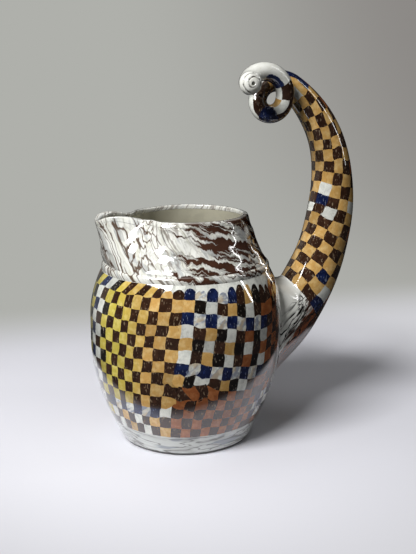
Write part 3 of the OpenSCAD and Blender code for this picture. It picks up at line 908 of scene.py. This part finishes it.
add_piece(
    "foot_ring", foot_skin, *grid(foot_angles, np.linspace(base_t, foot_h, 9)), "foot_band",
    "marbled_clay", foot_marble, wrapped=True,
)
slab_shares = np.concatenate([[0, 0.2, 0.4, 0.55], np.linspace(edge_from, edge_to, 6), [0.92, 1]])
add_piece(
    "base_disc", slab_skin, *grid(foot_angles, slab_shares), "base_slab",
    "marbled_clay", foot_marble, wrapped=True, welded=True,
)

# %% [markdown]
# ## Neck, lip and rim
#
# The neck is a slab of marbled clay bent into a cone, and its front is pulled out into a lip between
# two fingers. The lip's swell is a bump in angle that narrows towards the rim, less a pinch on each
# side of it. Towards the lip the veins stand nearly upright, and on the right they lie down and turn
# into dark flames, because the slab was cut there across its folds. Inside, the neck is plain.

# %% Marble of the neck
vein_twist, vein_jog, jog_stretch, vein_strength = 11.0, 0.06, (14.0, 14.0, 150.0), 0.92
flame_slope, flame_length, flame_height = 0.32, 0.040, 0.0048
flame_jag, jag_stretch = 0.012, (170.0, 170.0, 60.0)
flame_level, flame_drop, flame_edge = 0.72, 0.26, 0.03
wisp_width, wisp_strength = 0.08, 0.5
rim_whitening = 0.35


def neck_colour(place):
    """Colour of the neck's outside: upright veins towards the lip, and brown flames on the right. The
    flames are noise that is long in the direction round the neck, slopes down and has a jagged edge.
    Further to the right a lower level of the noise counts as brown, so the flames' tips point left."""
    tree = place.tree
    height = axis(place, "Z")
    twist = height * vein_twist + noise(stretched(place, jog_stretch), 1.0) * vein_jog
    twisted = add_node(tree, "VectorRotate", {"Vector": place, "Axis": (0, 0, 1), "Angle": twist})[0]
    standing = add_marbling(twisted, (38.0, 38.0, 2.8), 0.34)
    fine = add_marbling(twisted, (75.0, 75.0, 9.0), 0.45)
    flaming, turn = trait(tree, "flaming"), trait(tree, "turn")
    colour = stained(
        marble_white,
        (standing["Soft"], 0.7, marble_cream),
        (fine["Soft"], 0.14, marble_grey),
        (standing["Broad"], 0.36, marble_blue),
        (fine["Thin"], 0.25, marble_grey),
        (standing["Thin"] * (1.0 - flaming), vein_strength, marble_vein),
    )
    jagged = noise(stretched(place, jag_stretch), 1.0, 3.0) * flame_jag
    up = (height + turn * flame_slope + jagged) / flame_height
    burning = noise(add_node(tree, "CombineXYZ", {0: turn / flame_length, 1: up})[0], 1.0)
    level = flame_level - flaming * flame_drop
    wisps = between(burning, level - wisp_width, level)
    flames = between(burning, level, level + flame_edge)
    return stained(colour, (wisps, wisp_strength, marble_grey), (flames, 1.0, marble_brown))


neck_marble, place, shader = glazed("neck_marble", 2.0)
inside = trait(place.tree, "inside")
fill(shader["Base Color"], blend(inside, neck_colour(place), plain_cream))

rim_marble, place, shader = glazed("rim_marble", 1.5)
crown = trait(place.tree, "crown")
fill(shader["Base Color"], stained(neck_colour(place), (crown, rim_whitening, marble_white)))
print("neck marble with", len(neck_marble.node_tree.nodes), "nodes")

# %% Shape of the neck and lip
joint_coil_h, joint_coil_swell, neck_base_d = 6, 1.2, 139.5
rim_z, rim_d, rim_coil_h, neck_t = 195, 107, 4, 4.5
lip_side, lip_reach, lip_half, lip_pinch, lip_wave = 180, 25, 55, 10, 3
lip_lean, lip_broad, lip_narrow, lip_wave_end, lip_narrowing = 0.8, 2.5, 5, 0.6, 1.12
neck_z, rim_coil_z = shoulder_z + joint_coil_h, rim_z - rim_coil_h
rim_sag, rim_sag_window, far_pinch, neck_hollow = 1.6, (70, 125, 140, 180), 0.5, 1.6
# Each set of finger dents: its depth in mm, its size in degrees and in mm, and its seed
dent_sets = [(0.75, 12, 9, 5), (0.30, 6, 5, 6)]
dent_fade = 7


def lip_place(angle):
    """0 in the lip's middle and 1 at the edges of its sector and beyond."""
    from_lip = (angle - lip_side + 180) % 360 - 180
    return np.minimum(1, np.abs(from_lip) / lip_half)


def lip_swell(u, height, pinch):
    """How far the lip stands out: a bump that narrows towards the rim, less the fingers' pinches."""
    t = np.maximum(0, (height - neck_z) / (rim_z - neck_z))
    w = np.maximum(0, 1 - u * u)
    pinched = pinch * t * t * u * u * w * w * 27 / 4
    return lip_reach * t**lip_lean * w ** mix(lip_broad, lip_narrow, t) - pinched


def dents(angle, height):
    """Shallow dents that fingers leave in the neck, in millimetres. They fade towards the joint coil."""
    pressed = 0.0
    for depth, wide, tall, seed in dent_sets:
        pressed = pressed + depth * wander(angle / wide, height / tall, 360 // wide, seed)
    return pressed * smooth((height - neck_z) / dent_fade)


def rim_wave(angle):
    """Height of the rim over its level: it falls at the lip's tip, rises on the lip's flanks and sags
    a little behind the lip, where the hand pulled it."""
    u = lip_place(angle)
    sagged = rim_sag * window(angle % 360, *rim_sag_window)
    return -lip_wave * np.cos(2 * np.pi * u / lip_wave_end) * np.maximum(0, 1 - u * u) ** 4 - sagged


def mouth_radius(angle, height, depth):
    """Radius of the neck's outside or inside: a slightly hollow cone, the lip's swell, the hand's waves
    and the fingers' dents. The lip is pinched harder on its near side than on its far side."""
    t = np.clip((height - neck_z) / (rim_z - neck_z), 0, 1)
    cone = mix(neck_base_d, rim_d, t) / 2 - neck_t * depth - 4 * neck_hollow * t * (1 - t)
    pinch = lip_pinch * np.where(angle % 360 < lip_side, far_pinch, 1.0)
    swell = lip_swell(mix(1, lip_narrowing, depth) * lip_place(angle), height, pinch)
    return cone + swell + hand_wave(angle, height) + dents(angle, height) * (1 - depth)


def neck_skin(angle, share, depth):
    """A point of the neck, at a share of the way up from the joint coil to the rim coil's wavy seat."""
    height = mix(neck_z, rim_coil_z + rim_wave(angle), share)
    return turned_point(angle, mouth_radius(angle, height, depth), height)


print("neck from", neck_z, "to", rim_z, "mm")

# %% Neck and lip
flame_window, flame_middle = (218, 282, 340, 400), 285
neck_shares = np.linspace(0, 1, 19)


def flame_traits(angle, share=1.0):
    """What the neck's marble reads on the outside: how far the upright veins have turned into lying
    flames, 0 to 1, and the length round the neck from the flames' middle, in metres."""
    turn = np.radians(angle - flame_middle) * rim_d / 2 * MM
    return {"flaming": (share * window(angle, *flame_window), 0.0), "turn": (turn, 0.0)}


for name, node_name, first, last, count in [
    ("neck_cone", "neck_wall", lip_side + lip_half, lip_side + 360 - lip_half, 131),
    ("pouring_lip", "lip", lip_side - lip_half, lip_side + lip_half, 89),
]:
    angle, share = grid(np.linspace(first, last, count), neck_shares)
    add_piece(
        name, neck_skin, angle, share, node_name, "marbled_clay", neck_marble,
        inside=(0.0, 1.0), **flame_traits(angle),
    )

# %% Joint coil and rim coil
seat_share = 1.08
coil_flames = 0.6
rim_square = 0.6
crown_from, crown_width = 0.15, 0.2


def coil_skin(angle, share, depth):
    """A point of the joint coil: from the belly's upper edge to the foot of the neck, with a swell
    between them."""
    low_radius, low_height = belly_profile(profile_len + 0 * share, -belly_t * depth)
    swell = 4 * share * (1 - share) * joint_coil_swell * np.sqrt(0.5) * (1 - depth)
    height = mix(low_height, neck_z, share) + swell
    radius = mix(low_radius, neck_base_d / 2 - seat_share * neck_t * depth, share) + swell
    return turned_point(angle, radius + hand_wave(angle, height), height)


def rim_skin(angle, share, depth):
    """A point of the rim coil, from its outer to its inner edge: half of a rounded square, whose cosine
    and sine are raised to a power under 1, over a flat seat."""
    turn = np.pi * np.clip(share, 0, 1)
    across = (1 - np.sign(np.cos(turn)) * np.abs(np.cos(turn)) ** rim_square) / 2
    seat = rim_coil_z + rim_wave(angle)
    height = seat + rim_coil_h * np.sin(turn) ** rim_square * (1 - depth)
    radius = mix(mouth_radius(angle, height, 0.0), mouth_radius(angle, height, 1.0), across)
    return turned_point(angle, radius, height)


angle, share = grid(turn_round(180), np.linspace(0, 1, 9))
add_piece(
    "neck_coil", coil_skin, angle, share, "joint_coil", "marbled_clay", neck_marble, wrapped=True,
    inside=(0.0, 1.0), **flame_traits(angle, coil_flames),
)
angle, share = grid(turn_round(240), np.linspace(0.005, 0.995, 21))
add_piece(
    "rim_roll", rim_skin, angle, share, "rim_coil", "white_clay", rim_marble, wrapped=True,
    crown=(smooth((share - crown_from) / crown_width), 1.0), **flame_traits(angle),
)

# %% [markdown]
# ## The handle's path
#
# The handle is a tube along a path of five arcs, each leading on from the last: two long bends, then
# three tight ones that make the curl, which steps sideways so that its turns lie side by side. At any
# length along the path three directions make a frame: along the tube, towards the inside of the bend,
# and square to both. A ring of points in that frame is one course of the tube.

# %% The path
handle_root_z, handle_rise = 82, 45
# Each arc: its radius in mm and the angle it turns through
handle_arcs = np.array([[182, 48.5], [106, 49.5], [18, 117], [12.3, 161], [17, 220]])
curl_pitch, curl_lean, curl_climb, step_ease = 24, 0.44, 0.23, 0.25
tip_push, tip_lift, tip_push_turn, tip_ease = 19, 9, 90, 3
tip_len = 47
arc_ends = np.concatenate([[0], np.cumsum(handle_arcs[:, 0] * np.radians(handle_arcs[:, 1]))])
arc_turns = np.concatenate([[0], np.cumsum(handle_arcs[:, 1])])
curl_start, path_len = arc_ends[2], arc_ends[-1]
tip_start = path_len - tip_len


def belly_outline(height):
    """Radius of the belly's outer face at a height."""
    low = low_r - np.sqrt(low_r**2 - np.maximum(0, belly_z - height) ** 2)
    high = high_r - np.sqrt(high_r**2 - np.clip(height - high_z, 0, high_rise) ** 2)
    return belly_d / 2 - low - high


def tip_share(s):
    """0 up to the last part of the curl, and then a rise to 1 at its end, slow at first."""
    turned = np.interp(s, arc_ends, arc_turns) - arc_turns[-1] + tip_push_turn
    return (np.maximum(0, turned) / tip_push_turn) ** tip_ease


def middle_line(s):
    """A point of the path, a length along it: a straight start, then arc after arc, with the curl's
    sideways step and the tip's swing out of the curl."""
    rise = np.radians(handle_rise)
    before = np.minimum(s, 0)
    x = belly_outline(handle_root_z) + before * np.cos(rise)
    z = handle_root_z + before * np.sin(rise)
    for (radius, _), start, end, turn in zip(handle_arcs, arc_ends, arc_ends[1:], arc_turns):
        heading = np.radians(handle_rise + turn)
        swept = (np.clip(s, start, end) - start) / radius
        x = x + radius * (np.sin(heading + swept) - np.sin(heading))
        z = z + radius * (np.cos(heading) - np.cos(heading + swept))
    turns = np.maximum(0, np.interp(s, arc_ends, arc_turns) - arc_turns[2]) / 360
    step = curl_pitch * np.where(turns < step_ease, turns**2 / (2 * step_ease), turns - step_ease / 2)
    swing = tip_share(s)
    y = -step - tip_push * swing
    return np.stack([x - curl_lean * step, y, z + curl_climb * step + tip_lift * swing], -1)


print("path", path_len.round(1), "mm long, curl from", curl_start.round(1), "mm")

# %% Rings of the tube
root_d, grip_d, curl_start_d, root_len, handle_slant = 51, 40, 21, 40, 0.43
curl_d, tip_d = 15.2, 18.6
path_step = 0.05
# Each wave of the tube: its height in mm, mm along for one radian, how often it goes round, its start
tube_waves = [(0.28, 15, 2, 0.0), (0.20, 9, -3, 0.8)]


def tube_radius(s):
    """Outer radius of the handle: a curve through its three diameters, then the curl's own."""
    t = np.clip(s / curl_start, 0, 1)
    ends = root_d * (1 - t) * (1 - 2 * t) + curl_start_d * t * (2 * t - 1)
    grip = (ends + 4 * grip_d * t * (1 - t)) / 2
    lead = np.clip((s - curl_start) / (arc_ends[3] - curl_start), 0, 1)
    curl = mix(mix(curl_start_d, curl_d, np.sin(lead * np.pi / 2)), tip_d, tip_share(s)) / 2
    return np.where(s < curl_start, grip, curl)


def unit(vectors):
    """Vectors of length one."""
    return vectors / np.linalg.norm(vectors, axis=-1, keepdims=True)


def tube_point(s, angle, radius, flare=0.0):
    """A point about the path: at angle 0 it lies on the inside of the bend. The rings lean over, most
    at the root and not at all from the curl on, so the length depends on the angle too."""
    turn = np.radians(angle)[..., None]
    lean = handle_slant * np.clip((curl_start - s) / (curl_start - root_len), 0, 1)
    s = s + lean * radius * np.cos(turn[..., 0])
    along = unit(middle_line(s + path_step) - middle_line(s - path_step))
    inward = unit(np.cross(along, [0.0, 1.0, 0.0]))
    out = np.cos(turn) * inward + np.sin(turn) * np.cross(along, inward)
    return middle_line(s) + np.asarray(radius + flare)[..., None] * out


def tube_wave(s, angle):
    """The hand's waves on the handle, in millimetres. They fade where the tube is thin."""
    turn = np.radians(angle)
    wave = sum(size * np.sin(s / run + times * turn + start) for size, run, times, start in tube_waves)
    return wave * tube_radius(s) / tube_radius(0.0)


print("tube", root_d, "mm thick at the root,", curl_d, "mm in the curl")

# %% [markdown]
# ## Pad and root
#
# The handle is luted to a marbled pad on the belly. Its first stretch has no checks: it is marbled in
# streaks that run along the handle, and above, wet white clay is smoothed into the crook until it
# makes a saddle. The saddle is a flare of the tube on the inside of the bend. The root ends on the
# belly, and for each angle round the tube that length is found by halving a stretch that holds it.

# %% Marble of the root
root_veins, burnt_streaks = (0.20, 0.30), (0.46, 0.60)
rust_start, rust_end, rust_ragged = (0.50, 0.56), (1.02, 0.92), 0.7
root_marble, place, shader = glazed("root_marble", 1.5)
tree = root_marble.node_tree
along_root = (0, np.radians(handle_rise), 0)
turned_place = add_node(tree, "Mapping", {"Vector": place, "Rotation": along_root})[0]
running = add_marbling(turned_place, (9.0, 50.0, 50.0), 0.6)
streaks = noise(stretched(turned_place, (30.0, 190.0, 190.0)), 1.0, 3.0)
under = trait(tree, "under")
veined = between(under, *root_veins)
band = under + (streaks - 0.5) * rust_ragged
rusty = between(band, *rust_start) * between(band, *rust_end)
burnt = blend(between(streaks, *burnt_streaks), marble_rust, marble_brown)
colour = stained(
    marble_white,
    (running["Soft"], veined, marble_grey),
    (rusty, 1.0, burnt),
    (running["Thin"], veined, clays["black"][0]),
)
fill(shader["Base Color"], colour)
print("root marble with", len(tree.nodes), "nodes")

# %% Pad and root pieces
pad_under, root_crowding = 0.24, 1.4
root_flare, flare_share = 12.5, 0.35
joint_fillet, joint_reach, sunk = 2.0, 4.0, 0.5
deepest_start, passage_start = -46.0, -6.0
handle_wall_t, least_passage_r = 4.5, 2.5
halvings = 30


def passage_radius(s):
    """Radius of the passage in the handle."""
    return np.maximum(least_passage_r, tube_radius(s) - check_t - handle_wall_t)


def root_point(s, angle, fillet=0.0):
    """A point of the root's outside: the tube, with the flare on the inside of the bend."""
    inside = ((1 + np.cos(np.radians(angle))) / 2) ** 2
    flare = root_flare * smooth((root_len - s) / root_len / flare_share) * inside
    return tube_point(s, angle, tube_radius(s), flare + tube_wave(s, angle) + fillet)


def root_start(angle):
    """Length at which the root's outside comes out of the belly, by halving."""
    low, high = np.full(angle.shape, deepest_start), np.full(angle.shape, float(root_len))
    for _ in range(halvings):
        half = (low + high) / 2
        x, y, z = np.moveaxis(root_point(half, angle), -1, 0)
        belly = belly_outline(z) + hand_wave(np.degrees(np.arctan2(y, x)), z)
        outside = np.hypot(x, y) > belly
        low, high = np.where(outside, low, half), np.where(outside, half, high)
    return high - sunk


def root_skin(angle, share, depth):
    """A point of the root, from the belly to the first course of checks, with a small fillet at the
    belly, or of the passage inside."""
    first = root_start(angle)
    s = mix(first, root_len, share)
    outside = root_point(s, angle, joint_fillet * np.exp((first - s) / joint_reach))
    s = mix(passage_start, root_len, share)
    return mix(outside, tube_point(s, angle, passage_radius(s)), depth)


pad_across = np.linspace(-pad_columns / 2, pad_columns / 2, 61)
pad_courses = np.linspace(pad_first_row, pad_first_row + pad_rows, 61)
add_piece(
    "pad_skin", belly_skin, *grid(pad_across, pad_courses), "handle_pad", "marbled_clay", root_marble,
    under=(pad_under, pad_under),
)
angle, share = grid(turn_round(96), np.linspace(0, 1, 33) ** root_crowding)
below = (1 - np.cos(np.radians(angle))) / 2
add_piece(
    "root_saddle", root_skin, angle, share, "handle_root", "marbled_clay", root_marble, wrapped=True,
    under=(below, 0.0),
)

# %% [markdown]
# ## Checks on the handle and the curl
#
# Checks wind round the handle like a slow screw. They use the same blocks as on the belly, on a skin
# that is the tube. On the curl they are larger for the tube's size.

# %% Which clay each check of the handle is cut from
handle_rows, handle_columns, handle_twist = 19, 12, 120
handle_course = (curl_start - root_len) / handle_rows
outside_angle, outside_half = 190, 50
# White and blue checks that stand among the others, by column and row, repeated half way round
handle_accents = {
    (3, 0): "blue", (3, 1): "white", (2, 2): "blue", (0, 7): "white", (4, 7): "white",
    (5, 8): "blue", (2, 8): "white", (5, 9): "white", (0, 18): "blue", (4, 18): "white",
}
# Each course of the curl has its own clays round the tube
curl_clays = [
    ["blue", "tan", "brown", "brown", "white", "tan"],
    ["white", "brown", "blue", "brown", "brown", "tan"],
    ["white", "blue", "tan", "white", "brown", "brown"],
    ["white", "tan", "blue", "tan", "brown", "brown"],
    ["brown", "white", "brown", "tan", "blue", "blue"],
    ["brown", "tan", "blue", "tan", "white", "brown"],
    ["brown", "white", "tan", "white", "brown", "brown"],
]


def winding(s):
    """How far the checks have wound round the handle at a length, in degrees."""
    return handle_twist * (s - root_len) / (curl_start - root_len)


def handle_clay(column, row):
    """The clay of one check on the handle: brown and tan, with terracotta for tan on the outside of
    the bend, and a few white and blue ones."""
    accent = handle_accents.get((column % (handle_columns // 2), row))
    if accent or (column + row) % 2 == 0:
        return accent or "brown"
    angle = (column + 0.5) * 360 / handle_columns + winding(root_len + (row + 0.5) * handle_course)
    outside = np.cos(np.radians(angle - outside_angle)) > np.cos(np.radians(outside_half))
    return "terracotta" if outside else "tan"


handle_clays = [[handle_clay(c, r) for c in range(handle_columns)] for r in range(handle_rows)]
print("first course of the handle:", ", ".join(handle_clays[0]))

# %% Handle and curl checks
curl_course = (tip_start - curl_start) / len(curl_clays)
tube_seed, second_seed = 60, 4
# Each stretch: its name, clays, first length, length of a course, wander of its lines, its seed and
# the steps across one check
stretches = [
    ("handle", handle_clays, root_len, handle_course, 0.17, 40, check_steps),
    ("curl", curl_clays, curl_start, curl_course, 0.14, 50, np.linspace(0, 1, 8)),
]


def tube_check_skin(first, course, rows, columns, wandering, seed):
    def skin(column, row, depth):
        """A point at a place of the wandering lattice, wound round the tube, with the hand's waves."""
        held = smooth(row) * smooth(rows - row)
        column = column + wandering * ragged(column, row, columns, seed)
        row = row + wandering * held * ragged(column, row, columns, seed + second_seed)
        s = first + row * course
        angle = column * 360 / columns + winding(s)
        return tube_point(s, angle, tube_radius(s) + tube_wave(s, angle) - check_t * depth)

    return skin


for name, courses, first, course, wandering, seed, steps in stretches:
    skin = tube_check_skin(first, course, len(courses), len(courses[0]), wandering, seed)
    up, across = np.meshgrid(steps, steps, indexing="ij")
    for number_of_clay, clay in enumerate(dict.fromkeys(sum(courses, []))):
        rows, columns = np.nonzero(np.array(courses) == clay)
        column = columns[:, None, None] + across
        row = rows[:, None, None] + up
        tone = tones(len(column), tube_seed + number_of_clay)
        add_piece(
            name + "_" + clay, skin, column, row, name + "_checks_" + clay, clay + "_clay",
            clay_materials[clay], tone=(tone, tone),
        )

# %% [markdown]
# ## Tip of the curl
#
# The curl ends in a white dome that is rolled like a snail shell, with the sucking hole in its eye. A
# spiral is a line on which the angle and the distance from the eye grow together, so the cosine of
# their sum, stored at each point, is 1 along the spiral's line and can be used for a groove and a vein.
# A run of blue clay starts from the last checks.

# %% Marble of the tip
break_scale, break_depth, line_edge = 330.0, 1.3, (-0.08, 0.38)
run_scale, run_ragged, run_edge = 420.0, 0.6, (0.72, 0.80)
tip_marble, place, shader = glazed("tip_marble")
tree = tip_marble.node_tree
rolled = add_marbling(place, (60.0, 60.0, 60.0), 0.8)
broken = noise(place, break_scale) * break_depth
lined = between(trait(tree, "spiral") - broken, *line_edge)
run = between(trait(tree, "drip") + noise(place, run_scale) * run_ragged, *run_edge)
colour = stained(
    marble_white,
    (rolled["Soft"], 0.4, marble_cream),
    (lined, 1.0, marble_dark),
    (run, 1.0, clays["blue"][1]),
)
fill(shader["Base Color"], colour)
print("tip marble with", len(tree.nodes), "nodes")

# %% Tip
sip_r, eye_lip = 1.5, 0.4
spiral_pitch, groove, groove_from, groove_fade = 7.5, 0.8, 0.5, 4
dome_from, rolled_from, rolled_width, narrowing = 0.6, 0.40, 0.15, 0.3
drip_angle, drip_from, drip_width, drip_len, drip_fade = 40, 0.72, 0.25, 26, 12
thinnest_wall = 0.3
# Where the tip swings out, the path runs longer than the arcs' own length by this share
path_end = np.array(path_len)
swing_out = np.linalg.norm(middle_line(path_end) - middle_line(path_end - path_step)) / path_step


def tip_course(share):
    """Length along the path, outer radius and distance from the eye, from the tip's start to its eye:
    a stretch of tube and then a dome."""
    dome_r = tip_d / 2
    dome = dome_r / swing_out
    t = np.clip(share / dome_from, 0, 1)
    s = mix(tip_start, path_len - dome, t * (2 - t))
    bend = np.clip((share - dome_from) / (1 - dome_from), 0, 1) * np.pi / 2
    radius = np.where(share < dome_from, tube_radius(s), mix(sip_r + eye_lip, dome_r, np.cos(bend)))
    from_eye = (path_len - dome - s) * swing_out + dome_r * (np.pi / 2 - bend)
    return s + dome * np.sin(bend), radius, from_eye


def spiral_line(angle, share):
    """1 on the spiral's line, falling to -1 half way between two of its turns."""
    _, _, from_eye = tip_course(share)
    return np.cos(np.radians(angle) + 2 * np.pi * from_eye / spiral_pitch)


def tip_part(share):
    """0 on the tube and 1 on the rolled end, where the spiral is."""
    return smooth((share - rolled_from) / rolled_width)


def tip_skin(angle, share, depth):
    """A point of the tip, with a shallow groove along the spiral, or of the passage inside."""
    s, radius, from_eye = tip_course(share)
    lined = smooth((spiral_line(angle, share) - groove_from) / (1 - groove_from)) * tip_part(share)
    grooved = radius - groove * lined * smooth(from_eye / groove_fade)
    passage = mix(least_passage_r, sip_r, smooth((share - rolled_from) / narrowing))
    inside = np.minimum(passage, radius - thinnest_wall)
    return tube_point(s, angle + winding(s), mix(grooved, inside, depth))


angle, share = grid(turn_round(72), np.linspace(0, 1, 97))
line = mix(-1.0, spiral_line(angle, share), tip_part(share))
s, _, _ = tip_course(share)
from_drip = np.cos(np.radians(angle + winding(s) - drip_angle))
dripped = smooth((from_drip - drip_from) / drip_width) * smooth((tip_start + drip_len - s) / drip_fade)
add_piece(
    "curl_snail", tip_skin, angle, share, "curl_tip", "marbled_clay", tip_marble, wrapped=True,
    spiral=(line, -1.0), drip=(dripped, 0.0),
)

# %% [markdown]
# ## Plain walls behind the checks
#
# The belly's wall and the tubes in the handle and the curl stay as the CAD gives them. Only the wall
# can be seen, down through the mouth, so these get plain grey-cream clay under the same glaze.

# %% Plain clay
plain_mottle, plain_speck, plain_speck_amount = linear(178, 172, 150), linear(130, 120, 100), 0.25
plain_clay, place, shader = glazed("plain_clay")
colour = clay_colour(place, 0.0, plain_cream, plain_mottle, plain_speck, plain_speck_amount)
fill(shader["Base Color"], colour)
for node_name in ["belly_wall", "handle_tube", "curl_tube"]:
    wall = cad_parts[node_name]
    for material_slot in wall.material_slots:
        material_slot.material = plain_clay
    print(node_name, "has", len(wall.material_slots), "material slot")
